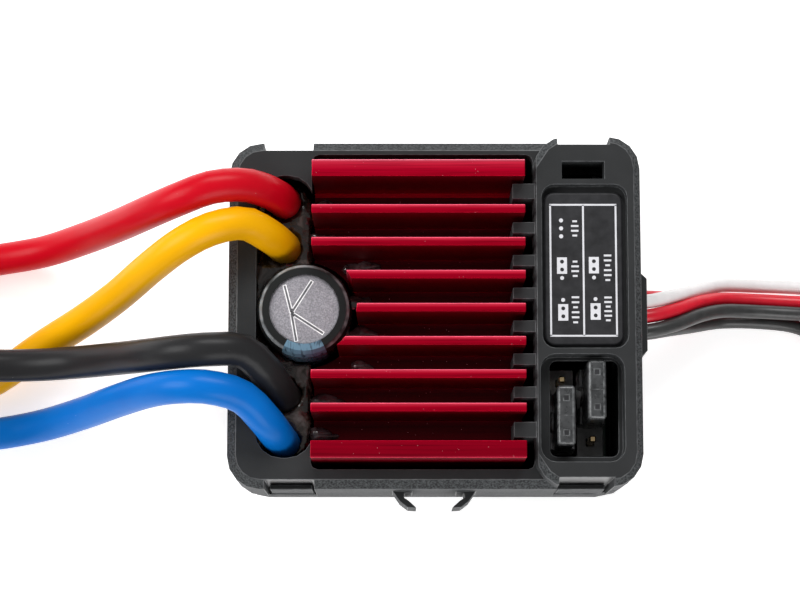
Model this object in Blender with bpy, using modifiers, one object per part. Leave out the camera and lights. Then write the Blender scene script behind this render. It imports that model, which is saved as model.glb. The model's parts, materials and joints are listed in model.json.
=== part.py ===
"""Brushed-motor electronic speed controller for a model car, as separate pieces.

Every size below is in millimetres and becomes metres in the mesh helpers. The origin is the centre
of the case's underside, +X points to the receiver lead, +Y to the rear wall and +Z up.
"""

import math

import bmesh
import bpy
from mathutils import Matrix, Vector

MM = 0.001
OBJECT_NAME = "electronic_speed_controller"

# Case: a tray below and a cover above it, with a lower rail on each side of the heat sink
CASE_HALF_X = 18.2
CASE_HALF_Y = 15.5
CASE_CORNER = 2.9
TRAY_TOP = 5.0
TRAY_INSET = 0.2
TRAY_WALL = 1.4
TRAY_FLOOR = 1.3
COVER_BOTTOM = 5.3
RAIL_TOP = 14.2
BLOCK_TOP = 16.8
BLOCK_LEFT = 8.85
BLOCK_SKIN = 0.02
COVER_CHAMFER = 0.8
COVER_WALL = 1.7
ROOF_THICKNESS = 1.6
GAP = 0.3

# Openings in the cover, each as (left, right, front, back)
SINK_WINDOW = (-10.8, 8.87, -13.8, 14.28)
BAY_WINDOW = (-15.7, -10.6, -12.8, 12.4)
LED_WINDOW = (11.3, 15.05, 11.6, 13.15)
LABEL_RECESS = (9.5, 17.0, -3.4, 11.1)
POCKET_MOUTH = (9.3, 16.6, -13.35, -3.95)
POCKET_THROAT = (10.2, 16.2, -12.75, -4.3)
LABEL_FLOOR = 15.8
POCKET_LEDGE = 14.6
COMB_TIP = 6.95
COMB_BOTTOM = 10.4
COMB_TOP = 16.5
NOTCHES = ((-15.1, -10.7, 1), (10.95, 15.55, 1), (-14.9, -10.5, -1), (10.85, 15.65, -1))
NOTCH_DEPTH = 0.8
HOOK_TOP = 11.3
HOOK_BOTTOM = 6.5

# Heat sink
SINK_X = (-10.7, 8.0)
SINK_BOTTOM = 7.8
SINK_FLOOR = 10.0
SINK_TOP = 18.0
FIN_PITCH = 2.91
THIN_FINS = 7
FIN_THIN = 0.76
FIN_WIDE = 1.5
FIN_WIDE_CENTRE = 12.36
SINK_CUTOUT = (-11.5, 0.4, 4.8)

# Board and what stands on it
BOARD_HALF_X = 15.9
BOARD_HALF_Y = 13.2
BOARD_BOTTOM = 2.9
BOARD_TOP = 4.5
SOLDER_GAP = 0.1
PIN_PITCH = 2.54
PIN_WIDTH = 0.6
PIN_TIP = 10.5
HEADER_TOP = 7.0
HEADER_ROWS = {"mode": (11.55, -7.98), "battery": (14.25, -8.25)}
JUMPER_SIDE = {"mode": -1, "battery": 1}
JUMPER_SHOULDER = 10.0
JUMPER_TOP = 16.2

# Capacitor
CAP_X = -11.4
CAP_Y = 0.25
CAP_SLEEVE_RADIUS = 4.2
CAP_CAN_RADIUS = 3.95
CAP_TOP = 15.2
CAP_BOTTOM = 6.0

# Cords: diameters, and hanks as their folds' two X centres, the Y centre, outer radius, bottom and top
POWER_DIAMETER = 3.0
LEAD_DIAMETER = 1.3
POWER_HANK = ((-73.0, -57.5), -7.5, 13.7, (0.5, 12.9))
POWER_HANK_HOLE = 7.4
RECEIVER_HANK = ((42.4, 57.2), 7.4, 6.4, (0.45, 7.4))
SWITCH_HANK = ((42.4, 55.8), -6.35, 6.4, (0.4, 4.7))
RECEIVER_TIE_X = 46.5
SWITCH_TIE_X = 51.0
POTTING_TOP = 11.2

# Plugs and switch
PLUG_BACK = -94.0
PLUG_LENGTH = 15.0
PLUG_Y = 6.0
PLUG_HALF_Y = 6.6
PLUG_HEIGHT = 7.0
BLADE_OFFSET = 3.2
BULLETS = {"yellow": (-97.0, -6.5), "blue": (-97.0, -12.5)}
BULLET_Z = 2.5
RECEIVER_PLUG = (66.0, 80.0, -2.75, 4.85)
SWITCH_X = 70.2
SWITCH_Y = -7.0
SWITCH_LENGTH = 12.4
SWITCH_TRAVEL = 3.0

# Routes chosen by hand: from the board out of the case, or from a hank to its plug
ROUTES = {
    "power_wire_red": (
        (-13.3, 10.6, 4.9), (-13.3, 10.6, 9.5), (-13.5, 10.4, 12.4), (-14.5, 10.4, 15.7),
        (-16.69, 11.12, 17.22), (-19.49, 10.57, 18.15), (-22.27, 9.7, 17.4), (-25.04, 9.05, 14.96),
        (-28.16, 8.53, 11.05), (-31.91, 8.06, 6.5), (-36.12, 7.38, 3.18), (-40.8, 6.8, 1.85),
        (-45.0, 6.15, 1.9), (-49.4, 5.35, 2.0),
    ),
    "power_wire_yellow": (
        (-13.3, 6.4, 4.9), (-13.3, 6.4, 9.5), (-13.6, 6.45, 12.4), (-14.65, 6.8, 15.6),
        (-16.69, 7.55, 17.22), (-19.49, 6.87, 18.15), (-22.27, 5.55, 17.4), (-25.04, 3.96, 14.96),
        (-28.16, 2.16, 11.05), (-31.88, 0.43, 6.53), (-36.12, -1.57, 3.18), (-40.5, -4.4, 1.9),
        (-43.4, -5.5, 2.0),
    ),
    "power_wire_black": (
        (-13.2, -7.0, 4.9), (-13.2, -7.0, 9.5), (-13.6, -6.8, 12.4), (-14.65, -5.4, 15.6),
        (-16.69, -3.72, 17.22), (-19.49, -3.72, 18.15), (-22.27, -3.83, 17.4), (-25.09, -3.82, 14.91),
        (-28.54, -3.59, 10.54), (-32.41, -3.49, 7.1), (-36.56, -3.54, 5.49), (-41.2, -3.45, 5.1),
        (-43.7, -2.9, 5.1),
    ),
    "power_wire_blue": (
        (-13.3, -11.2, 4.9), (-13.3, -11.2, 9.5), (-13.6, -11.0, 12.4), (-14.65, -9.7, 15.6),
        (-16.69, -7.75, 17.22), (-19.49, -7.02, 18.15), (-22.27, -6.9, 17.4), (-25.04, -7.01, 14.96),
        (-28.16, -7.43, 11.05), (-31.91, -8.12, 6.5), (-36.13, -8.92, 3.17), (-40.8, -9.6, 2.0),
        (-43.4, -9.6, 2.0),
    ),
    "power_tail_red": (
        (-85.6, 8.5, 6.4), (-87.6, 9.05, 5.0), (-90.4, 9.25, 3.8), (-93.7, 9.2, 3.5),
    ),
    "power_tail_black": (
        (-86.2, 2.55, 7.2), (-88.2, 2.65, 5.4), (-90.8, 2.8, 3.9), (-93.7, 2.8, 3.5),
    ),
    "power_tail_yellow": (
        (-87.3, -5.85, 7.2), (-89.5, -6.3, 5.8), (-92.5, -6.5, 3.6), (-96.7, -6.5, 2.5),
    ),
    "power_tail_blue": (
        (-87.2, -11.4, 7.2), (-89.3, -12.2, 5.8), (-92.2, -12.6, 3.6), (-96.7, -12.5, 2.5),
    ),
    "receiver_wire_white": (
        (15.6, 2.02, 7.3), (17.5, 2.02, 7.3), (19.8, 2.12, 7.2), (22.3, 2.85, 5.7), (24.6, 3.65, 3.5),
        (27.0, 4.1, 1.8), (30.5, 4.1, 1.15), (34.4, 3.95, 1.1), (35.9, 4.15, 1.12),
    ),
    "receiver_wire_red": (
        (15.6, 0.66, 7.3), (17.5, 0.66, 7.3), (19.8, 0.76, 7.25), (22.3, 1.47, 6.1), (24.6, 2.4, 4.4),
        (27.0, 2.95, 2.75), (30.5, 2.95, 1.9), (34.4, 2.78, 1.7), (36.6, 2.95, 1.4),
    ),
    "receiver_wire_black": (
        (15.6, -0.7, 7.3), (17.5, -0.7, 7.3), (19.8, -0.6, 7.3), (22.3, 0.1, 6.45), (24.6, 1.1, 5.15),
        (27.0, 1.75, 3.65), (30.5, 1.8, 2.65), (34.4, 1.63, 2.35), (37.9, 1.7, 1.5),
    ),
    "switch_wire_red": (
        (15.6, 2.6, 5.8), (17.5, 2.6, 5.8), (19.6, 2.7, 5.6), (21.6, 2.8, 4.3), (23.8, 2.5, 2.0),
        (26.5, 2.2, 0.8), (30.5, 2.1, 0.7), (34.0, 1.8, 0.7), (39.1, 0.2, 0.9),
    ),
    "switch_wire_black": (
        (15.6, -0.6, 5.8), (17.5, -0.6, 5.8), (19.6, -0.6, 5.6), (21.8, -0.1, 4.3), (24.2, 0.5, 2.2),
        (27.0, 0.75, 0.8), (30.5, 0.75, 0.7), (34.3, 0.3, 0.7), (37.2, -1.0, 0.9),
    ),
}

CURVE_STEP = 12


# Scene, materials and collections


def clear_scene():
    for old in list(bpy.data.objects):
        bpy.data.objects.remove(old)


def collection(name):
    made = bpy.data.collections.new(name)
    bpy.context.scene.collection.children.link(made)
    return made


def material(name, colour, roughness, metallic=0.0):
    made = bpy.data.materials.new(name)
    made.use_nodes = True
    shader = made.node_tree.nodes["Principled BSDF"]
    shader.inputs["Base Color"].default_value = (*colour, 1.0)
    shader.inputs["Roughness"].default_value = roughness
    shader.inputs["Metallic"].default_value = metallic
    return made


def make_materials():
    return {
        "case": material("black_nylon", (0.022, 0.022, 0.023), 0.55),
        "label": material("label_film", (0.02, 0.02, 0.025), 0.4),
        "red_metal": material("red_anodised_aluminium", (0.55, 0.0, 0.03), 0.35, 0.9),
        "pad": material("thermal_pad", (0.45, 0.46, 0.48), 0.8),
        "board": material("circuit_board", (0.01, 0.09, 0.04), 0.5),
        "chip": material("chip_epoxy", (0.03, 0.03, 0.03), 0.6),
        "ferrite": material("ferrite", (0.06, 0.06, 0.065), 0.7),
        "led": material("led_lens", (0.6, 0.05, 0.03), 0.2),
        "aluminium": material("aluminium", (0.7, 0.7, 0.72), 0.35, 1.0),
        "sleeve": material("capacitor_sleeve", (0.02, 0.02, 0.022), 0.25),
        "rubber": material("rubber", (0.03, 0.03, 0.03), 0.8),
        "gold": material("gold_plate", (0.8, 0.55, 0.25), 0.3, 1.0),
        "brass": material("brass", (0.7, 0.5, 0.2), 0.35, 1.0),
        "jumper": material("smoked_plastic", (0.09, 0.09, 0.095), 0.35),
        "potting": material("potting_resin", (0.02, 0.015, 0.01), 0.15),
        "red": material("red_silicone", (0.6, 0.01, 0.02), 0.4),
        "yellow": material("yellow_silicone", (0.85, 0.45, 0.0), 0.4),
        "black": material("black_silicone", (0.02, 0.02, 0.02), 0.4),
        "blue": material("blue_silicone", (0.0, 0.13, 0.55), 0.4),
        "white": material("white_vinyl", (0.8, 0.8, 0.8), 0.4),
        "plug": material("plug_nylon", (0.5, 0.02, 0.02), 0.45),
    }


# Shapes


def outline_box(left, right, front, back, radius=0.0, steps=4):
    """Corners of a rectangle in turn, each as an arc when it has a radius."""
    if radius == 0.0:
        return [(left, front), (right, front), (right, back), (left, back)]
    centres = ((right - radius, back - radius, 0), (left + radius, back - radius, 90),
               (left + radius, front + radius, 180), (right - radius, front + radius, 270))
    points = []
    for x, y, start in centres:
        for step in range(steps + 1):
            angle = math.radians(start + 90 * step / steps)
            points.append((x + radius * math.cos(angle), y + radius * math.sin(angle)))
    return points


def mesh_from_curve(curve_object):
    """The curve's evaluated mesh as a new object, its loose caps welded and the curve removed."""
    bpy.context.view_layer.update()
    graph = bpy.context.evaluated_depsgraph_get()
    mesh = bpy.data.meshes.new_from_object(curve_object.evaluated_get(graph))
    solid = bmesh.new()
    solid.from_mesh(mesh)
    bmesh.ops.remove_doubles(solid, verts=solid.verts, dist=1e-6)
    bmesh.ops.dissolve_limit(solid, angle_limit=math.radians(1), verts=solid.verts, edges=solid.edges)
    bmesh.ops.recalc_face_normals(solid, faces=solid.faces)
    solid.to_mesh(mesh)
    solid.free()
    name = curve_object.name
    made = bpy.data.objects.new(name + "_mesh", mesh)
    made.matrix_world = curve_object.matrix_world.copy()
    home = curve_object.users_collection[0]
    bpy.data.objects.remove(curve_object)
    home.objects.link(made)
    made.name = name
    return made


def curve_object(name, home, points, closed):
    data = bpy.data.curves.new(name, "CURVE")
    spline = data.splines.new("POLY")
    spline.points.add(len(points) - 1)
    for point, place in zip(spline.points, points):
        point.co = (*(value * MM for value in place), 1.0)
    spline.use_cyclic_u = closed
    made = bpy.data.objects.new(name, data)
    home.objects.link(made)
    return made


class Builder:
    """Makes pieces in the object's collection and cutters in another."""

    def __init__(self):
        self.pieces = collection(OBJECT_NAME)
        self.cutters = collection(OBJECT_NAME + "_cutters")
        self.paint = make_materials()

    def prism(self, name, outline, low, high, paint=None):
        """A flat outline carried from one height to another."""
        home = self.pieces if paint else self.cutters
        made = curve_object(name, home, [(x, y, 0.0) for x, y in outline], True)
        made.data.dimensions = "2D"
        made.data.fill_mode = "BOTH"
        made.data.extrude = (high - low) / 2 * MM
        made.location = (0.0, 0.0, (low + high) / 2 * MM)
        return self.finish(mesh_from_curve(made), paint)

    def profile_along_x(self, name, outline, left, right, paint=None):
        """A flat outline given as (y, z) carried along X."""
        made = self.prism(name, outline, left, right, paint)
        made.data.transform(Matrix(((0, 0, 1, 0), (1, 0, 0, 0), (0, 1, 0, 0), (0, 0, 0, 1))))
        made.location = ((left + right) / 2 * MM, 0.0, 0.0)
        return made

    def box(self, name, low, high, paint=None, bevel=0.0):
        centre = [(a + b) / 2 * MM for a, b in zip(low, high)]
        bpy.ops.mesh.primitive_cube_add(size=1.0, location=centre)
        made = bpy.context.object
        made.name = name
        made.data.transform(Matrix.Diagonal([(b - a) * MM for a, b in zip(low, high)] + [1.0]))
        self.move_home(made, paint)
        if bevel:
            self.bevel(made, bevel)
        return self.finish(made, paint)

    def cylinder(self, name, centre, radius, low, high, paint=None, sides=32, axis="Z"):
        bpy.ops.mesh.primitive_cylinder_add(vertices=sides, radius=radius * MM, depth=(high - low) * MM)
        made = bpy.context.object
        made.name = name
        middle = (low + high) / 2
        if axis == "X":
            made.data.transform(Matrix.Rotation(math.pi / 2, 4, "Y"))
            made.location = (middle * MM, centre[0] * MM, centre[1] * MM)
        else:
            made.location = (centre[0] * MM, centre[1] * MM, middle * MM)
        self.move_home(made, paint)
        return self.finish(made, paint, smooth=True)

    def turned(self, name, centre, profile, paint, sides=32):
        """A closed (radius, height) profile, down its outer side, turned about a vertical."""
        places = [(radius * MM, 0.0, height * MM) for radius, height in profile]
        mesh = bpy.data.meshes.new(name)
        edges = [(i, i + 1) for i in range(len(places) - 1)]
        if profile[0][0] > 0.0:
            edges.append((len(places) - 1, 0))
        mesh.from_pydata(places, edges, [])
        made = bpy.data.objects.new(name, mesh)
        self.pieces.objects.link(made)
        made.location = (centre[0] * MM, centre[1] * MM, 0.0)
        screw = made.modifiers.new("turn", "SCREW")
        screw.steps = sides
        screw.render_steps = sides
        screw.use_merge_vertices = True
        screw.merge_threshold = 1e-6
        return self.finish(made, paint, smooth=True)

    def tube(self, name, places, diameter, paint):
        made = curve_object(name, self.pieces, smooth_line(places, diameter), False)
        made.data.dimensions = "3D"
        made.data.bevel_depth = diameter / 2 * MM
        made.data.bevel_resolution = 2
        made.data.use_fill_caps = True
        return self.finish(made, paint)

    def move_home(self, made, paint):
        for old in list(made.users_collection):
            old.objects.unlink(made)
        (self.pieces if paint else self.cutters).objects.link(made)

    def finish(self, made, paint, smooth=False):
        if smooth:
            made.data.shade_smooth()
            made.data.set_sharp_from_angle(angle=math.radians(35))
        if paint:
            made.data.materials.clear()
            made.data.materials.append(self.paint[paint])
        else:
            made.hide_render = True
            made.display_type = "WIRE"
        return made

    def bevel(self, made, width, segments=1):
        chamfer = made.modifiers.new("chamfer", "BEVEL")
        chamfer.width = width * MM
        chamfer.segments = segments
        chamfer.limit_method = "ANGLE"
        chamfer.angle_limit = math.radians(50)

    def bevel_edges(self, made, width, chosen):
        """Chamfers the edges whose middle the rule picks, each by its share of the width."""
        mesh = made.data
        weights = mesh.attributes.new("bevel_weight_edge", "FLOAT", "EDGE")
        for edge in mesh.edges:
            ends = [made.matrix_world @ mesh.vertices[index].co for index in edge.vertices]
            middle = (ends[0] + ends[1]) / 2 / MM
            weights.data[edge.index].value = chosen(middle, abs(ends[0].z - ends[1].z) < 1e-6)
        chamfer = made.modifiers.new("chamfer", "BEVEL")
        chamfer.width = width * MM
        chamfer.segments = 1
        chamfer.limit_method = "WEIGHT"

    def combine(self, target, tool, operation):
        step = target.modifiers.new(operation.lower() + "_" + tool.name, "BOOLEAN")
        step.operation = operation
        step.object = tool

    def cut(self, target, *tools):
        for tool in tools:
            self.combine(target, tool, "DIFFERENCE")

    def join(self, target, *tools):
        for tool in tools:
            self.combine(target, tool, "UNION")


def smooth_line(places, diameter):
    """Evenly spaced points on a Catmull-Rom curve through the given places."""
    knots = [Vector(place) for place in places]
    knots = [2 * knots[0] - knots[1], *knots, 2 * knots[-1] - knots[-2]]
    fine = []
    for a, b, c, d in zip(knots, knots[1:], knots[2:], knots[3:]):
        for step in range(CURVE_STEP):
            t = step / CURVE_STEP
            fine.append(0.5 * (2 * b + (c - a) * t + (2 * a - 5 * b + 4 * c - d) * t ** 2
                               + (3 * b - a - 3 * c + d) * t ** 3))
    fine.append(knots[-2])
    lengths = [0.0]
    for here, there in zip(fine, fine[1:]):
        lengths.append(lengths[-1] + (there - here).length)
    count = max(6, math.ceil(lengths[-1] / max(1.5, 0.75 * diameter)))
    line, at = [], 0
    for index in range(count + 1):
        wanted = lengths[-1] * index / count
        while at < len(fine) - 2 and lengths[at + 1] < wanted:
            at += 1
        share = (wanted - lengths[at]) / (lengths[at + 1] - lengths[at])
        line.append(fine[at].lerp(fine[at + 1], share))
    return line


# Case


def base_tray(b):
    half_x = CASE_HALF_X - TRAY_INSET
    half_y = CASE_HALF_Y - TRAY_INSET
    outer = outline_box(-half_x, half_x, -half_y, half_y, CASE_CORNER)
    tray = b.prism("base_tray", outer, 0.0, TRAY_TOP, "case")
    b.bevel_edges(tray, 0.8, lambda middle, level: float(level and middle.z < 0.1))
    wall_x, wall_y = half_x - TRAY_WALL, half_y - TRAY_WALL
    inner = outline_box(-wall_x, wall_x, -wall_y, wall_y, 1.6)
    b.cut(tray, b.prism("tray_cavity", inner, TRAY_FLOOR, TRAY_TOP + 1.0))
    for x in (-14.2, 14.2):
        for y in (-11.4, 11.4):
            low, high = (x - 1.3, y - 1.3, 0.9), (x + 1.3, y + 1.3, BOARD_BOTTOM - SOLDER_GAP)
            b.join(tray, b.box(f"post_{x}_{y}", low, high))
    boss = [(17.4, -3.9), (18.6, -3.4), (19.1, -2.9), (19.1, 3.6), (18.6, 4.1), (17.4, 4.6)]
    b.join(tray, b.prism("tray_boss", boss, 0.8, TRAY_TOP - 0.05))
    for left, right, side in NOTCHES:
        inside = side * (half_y - 0.55)
        outside = side * (half_y - 0.05)
        front, back = sorted((inside, outside))
        b.join(tray, b.box(f"latch_{left}_{side}", (left + 0.3, front, 3.6), (right - 0.3, back, 9.4)))
    return tray


def case_outline(grow=0.0):
    half_x, half_y = CASE_HALF_X + grow, CASE_HALF_Y + grow
    return outline_box(-half_x, half_x, -half_y, half_y, CASE_CORNER)


def block_outline():
    """The raised right-hand block: rounder at its two left corners, which fall to the side rails."""
    right = CASE_HALF_X + BLOCK_SKIN
    half_y = CASE_HALF_Y + BLOCK_SKIN
    return outline_box(BLOCK_LEFT, right, -half_y, half_y, CASE_CORNER)


def top_cover(b):
    cover = b.prism("top_cover", case_outline(), COVER_BOTTOM, RAIL_TOP, "case")
    b.bevel_edges(cover, COVER_CHAMFER, lambda middle, level: float(level and middle.z > RAIL_TOP - 0.1))
    block = b.prism("cover_block", block_outline(), SINK_FLOOR, BLOCK_TOP)
    b.bevel_edges(block, COVER_CHAMFER, block_edge)
    b.join(cover, block)
    wall = COVER_WALL
    low, high = SINK_WINDOW[2] + 0.05, SINK_WINDOW[3] - 0.05
    cavity = outline_box(-CASE_HALF_X + wall, CASE_HALF_X - wall, low, high, 1.5)
    b.cut(cover, b.prism("cover_cavity", cavity, TRAY_TOP - 1.0, RAIL_TOP - ROOF_THICKNESS))
    upper = outline_box(BLOCK_LEFT + 1.15, CASE_HALF_X - wall, low, high, 1.2)
    b.cut(cover, b.prism("block_cavity", upper, TRAY_TOP - 1.3, LABEL_FLOOR - 1.5))
    b.cut(cover, b.prism("sink_window", outline_box(*SINK_WINDOW, 0.6, 2), TRAY_TOP - 1.2, BLOCK_TOP + 3.0))
    b.cut(cover, b.prism("bay_window", outline_box(*BAY_WINDOW, 2.3), TRAY_TOP - 1.1, RAIL_TOP + 2.0))
    b.cut(cover, b.prism("led_window", outline_box(*LED_WINDOW), LABEL_FLOOR - 2.0, BLOCK_TOP + 1.0))
    b.cut(cover, b.prism("label_recess", outline_box(*LABEL_RECESS, 1.1), LABEL_FLOOR, BLOCK_TOP + 1.0))
    b.cut(cover, b.prism("pocket_mouth", outline_box(*POCKET_MOUTH, 1.3), POCKET_LEDGE, BLOCK_TOP + 1.0))
    throat = outline_box(*POCKET_THROAT, 0.6)
    b.cut(cover, b.prism("pocket_throat", throat, LABEL_FLOOR - 2.1, BLOCK_TOP + 0.5))
    for left, right, side in NOTCHES:
        front, back = sorted((side * (CASE_HALF_Y - NOTCH_DEPTH), side * (CASE_HALF_Y + 1.0)))
        low, high = (left, front, TRAY_TOP - 0.9), (right, back, BLOCK_TOP + 1.1)
        b.cut(cover, b.box(f"notch_{left}_{side}", low, high))
    centres = [FIN_PITCH * (index - THIN_FINS / 2 + 0.5) for index in range(THIN_FINS)]
    fins = [-FIN_WIDE_CENTRE, *centres, FIN_WIDE_CENTRE]
    for index, (front, back) in enumerate(zip(fins, fins[1:])):
        middle = (front + back) / 2
        half = 0.68 if index in (0, len(fins) - 2) else 0.5
        low_corner = (COMB_TIP, middle - half, COMB_BOTTOM)
        high_corner = (BLOCK_LEFT + 0.4, middle + half, COMB_TOP)
        b.join(cover, b.box(f"comb_finger_{index}", low_corner, high_corner))
    add_lead_boss(b, cover)
    add_wire_clip(b, cover)
    return cover


def block_edge(middle, level):
    if not level or middle.z < BLOCK_TOP - 0.1:
        return 0.0
    return 0.3 if middle.x < BLOCK_LEFT + 0.5 else 1.0


def add_lead_boss(b, cover):
    boss = [(17.3, -3.9), (18.7, -3.4), (19.3, -2.8), (19.3, 3.75), (18.7, 4.3), (17.3, 4.7)]
    b.join(cover, b.prism("cover_boss", boss, COVER_BOTTOM, 10.2))
    b.cut(cover, b.box("lead_slot", (15.0, -1.6, TRAY_TOP - 0.8), (21.0, 3.4, 8.2)))


def add_wire_clip(b, cover):
    """Two facing hooks on the front wall that hold a wire or an aerial tube."""
    wall = -CASE_HALF_Y
    left = [(-3.62, wall + 0.4), (-1.9, wall + 0.4), (-1.9, wall - 0.1), (-2.55, wall - 0.2), (-2.65, wall - 0.55),
            (-2.2, wall - 0.85), (-1.75, wall - 1.25), (-1.5, wall - 1.5), (-2.3, wall - 1.45), (-3.0, wall - 0.9),
            (-3.62, wall)]
    right = [(-x + 0.15, y) for x, y in reversed(left)]
    for name, points in (("hook_left", left), ("hook_right", right)):
        b.join(cover, b.prism(name, points, HOOK_BOTTOM, HOOK_TOP))


def label_plate(b):
    left, right, front, back = LABEL_RECESS
    edge = outline_box(left + 0.2, right - 0.35, front + 0.25, back - 0.6, 0.9)
    plate = b.prism("label_plate", edge, LABEL_FLOOR + 0.05, LABEL_FLOOR + 0.5, "label")
    b.bevel_edges(plate, 0.15, lambda middle, level: float(level and middle.z > LABEL_FLOOR + 0.4))


# Heat sink, board and components


def heat_sink(b):
    centres = [FIN_PITCH * (index - THIN_FINS / 2 + 0.5) for index in range(THIN_FINS)]
    thin_fins = [(centre, FIN_THIN) for centre in centres]
    fins = [(-FIN_WIDE_CENTRE, FIN_WIDE), *thin_fins, (FIN_WIDE_CENTRE, FIN_WIDE)]
    edge = FIN_WIDE_CENTRE + FIN_WIDE / 2
    outline = [(edge, SINK_BOTTOM), (-edge, SINK_BOTTOM)]
    for index, (centre, width) in enumerate(fins):
        if index:
            outline.append((centre - width / 2, SINK_FLOOR))
        outline.append((centre - width / 2, SINK_TOP))
        outline.append((centre + width / 2, SINK_TOP))
        if index < len(fins) - 1:
            outline.append((centre + width / 2, SINK_FLOOR))
    sink = b.profile_along_x("heat_sink", outline, *SINK_X, "red_metal")
    x, y, radius = SINK_CUTOUT
    b.cut(sink, b.cylinder("sink_cutout", (x, y), radius, SINK_BOTTOM - 1.0, SINK_TOP + 1.0))
    return sink


def board_and_chips(b):
    outline = outline_box(-BOARD_HALF_X, BOARD_HALF_X, -BOARD_HALF_Y, BOARD_HALF_Y, 1.0)
    b.prism("main_board", outline, BOARD_BOTTOM, BOARD_TOP, "board")
    seat = BOARD_TOP + SOLDER_GAP
    chip_top = 6.9
    pad = outline_box(-6.4, 7.4, -12.4, 12.4, 0.8)
    b.prism("thermal_pad", pad, chip_top + 0.1, SINK_BOTTOM - 0.1, "pad")
    places = [(-3.0, -6.6), (4.0, -6.6), (-3.0, 6.6), (4.0, 6.6)]
    for number, (x, y) in enumerate(places, 1):
        low, high = (x - 2.6, y - 4.6, seat), (x + 2.6, y + 4.6, chip_top)
        mosfet = b.box(f"mosfet_{number}", low, high, "chip", 0.25)
        for offset in (-2.28, 0.0, 2.28):
            leg = b.box(f"leg_{number}_{offset}", (x + offset * 0.8 - 0.4, y + 4.0, seat),
                        (x + offset * 0.8 + 0.4, y + 5.6, seat + 0.5))
            b.join(mosfet, leg)
    b.box("controller_chip", (10.4, 4.6, seat), (15.4, 9.6, 5.6), "chip", 0.15)
    b.box("regulator_chip", (0.2, -0.7, seat), (3.4, 1.7, 6.2), "chip", 0.2)
    b.box("bec_inductor", (10.4, -2.2, seat), (15.0, 2.4, 7.9), "ferrite", 0.6)
    b.box("status_led", (12.4, 12.0, seat), (14.0, 12.8, 5.4), "led", 0.1)


def capacitor(b):
    centre = (CAP_X, CAP_Y)
    can = CAP_CAN_RADIUS
    inner = can - 0.4
    b.turned("capacitor_can", centre, [
        (0.0, CAP_TOP - 0.25), (3.0, CAP_TOP - 0.25), (3.15, CAP_TOP - 0.3), (can - 0.25, CAP_TOP - 0.6),
        (can, CAP_TOP - 1.2), (can, CAP_BOTTOM), (inner, CAP_BOTTOM), (inner, CAP_TOP - 2.0), (0.0, CAP_TOP - 2.0),
    ], "aluminium")
    seal = inner - 0.05
    b.turned("capacitor_seal", centre, [(0.0, 7.4), (seal, 7.4), (seal, 5.3), (0.0, 5.3)], "rubber")
    outer = CAP_SLEEVE_RADIUS
    bore = can + 0.04
    b.turned("capacitor_sleeve", centre, [
        (3.1, CAP_TOP), (3.7, CAP_TOP - 0.08), (outer - 0.2, CAP_TOP - 0.45), (outer, CAP_TOP - 1.1), (outer, 5.2),
        (bore, 5.2), (bore, CAP_TOP - 1.25), (can - 0.15, CAP_TOP - 0.52), (3.1, CAP_TOP - 0.22),
    ], "sleeve")


def headers_and_jumpers(b):
    for name, (x, y) in HEADER_ROWS.items():
        seat = BOARD_TOP + SOLDER_GAP
        low, high = (x - 1.2, y - 3.8, seat), (x + 1.2, y + 3.8, HEADER_TOP)
        base = b.box(f"{name}_header_base", low, high, "case")
        half = PIN_WIDTH / 2
        for number in range(3):
            at = y + (1 - number) * PIN_PITCH
            hole = b.box(f"{name}_hole_{number}", (x - half - 0.04, at - half - 0.04, seat - 1.0),
                         (x + half + 0.04, at + half + 0.04, HEADER_TOP + 1.0))
            b.cut(base, hole)
            pin_name = f"{name}_header_pin_{number + 1}"
            b.box(pin_name, (x - half, at - half, seat), (x + half, at + half, PIN_TIP), "gold", 0.12)
        jumper(b, name, x, y + JUMPER_SIDE[name] * PIN_PITCH / 2)


def jumper(b, name, x, y):
    """A jumper cap with a tall tab, and the brass clip inside that bridges two pins."""
    low = HEADER_TOP + GAP
    cap = b.box(f"{name}_jumper_cap", (x - 0.8, y - 2.62, low), (x + 0.8, y + 2.62, JUMPER_TOP), "jumper")
    b.bevel(cap, 0.18)
    for side in (-1, 1):
        near, far = sorted((y + side * 0.85, y + side * 2.5))
        shoulder = b.box(f"{name}_shoulder_{side}", (x - 1.15, near, low), (x + 1.15, far, JUMPER_SHOULDER))
        b.join(cap, shoulder)
    slot_top = PIN_TIP + 0.6
    b.cut(cap, b.box(f"{name}_slot", (x - 0.56, y - 1.95, low - 1.0), (x + 0.56, y + 1.95, slot_top)))
    inner, outer, roof = 0.36, 0.48, slot_top - 0.15
    channel = [(-outer, low + 0.1), (-inner, low + 0.1), (-inner, roof - 0.15), (inner, roof - 0.15),
               (inner, low + 0.1), (outer, low + 0.1), (outer, roof), (-outer, roof)]
    clip = b.profile_along_x(f"{name}_jumper_clip", channel, -1.8, 1.8, "brass")
    clip.rotation_euler = (0.0, 0.0, math.pi / 2)
    clip.location = (x * MM, y * MM, 0.0)


def potting(b):
    outline = outline_box(-16.1, -10.98, -12.6, 12.2, 2.0)
    resin = b.prism("wire_potting", outline, BOARD_TOP + SOLDER_GAP, POTTING_TOP, "potting")
    cap_radius = CAP_SLEEVE_RADIUS + 0.06
    holes = [b.cylinder("potting_cap_hole", (CAP_X, CAP_Y), cap_radius, 4.0, POTTING_TOP + 1.0)]
    for colour in ("red", "yellow", "black", "blue"):
        route = ROUTES[f"power_wire_{colour}"]
        line = smooth_line(route[:4], POWER_DIAMETER)
        hole = curve_object(f"potting_hole_{colour}", b.cutters, line, False)
        hole.data.dimensions = "3D"
        hole.data.bevel_depth = (POWER_DIAMETER / 2 + 0.12) * MM
        hole.data.bevel_resolution = 2
        hole.data.use_fill_caps = True
        holes.append(b.finish(mesh_from_curve(hole), None))
    below = b.box("potting_floor_cut", (-14.6, -12.0, 4.0), (-12.0, 11.6, 5.2))
    b.cut(resin, below, *holes)


# Cords, hanks, plugs and switch


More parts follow.
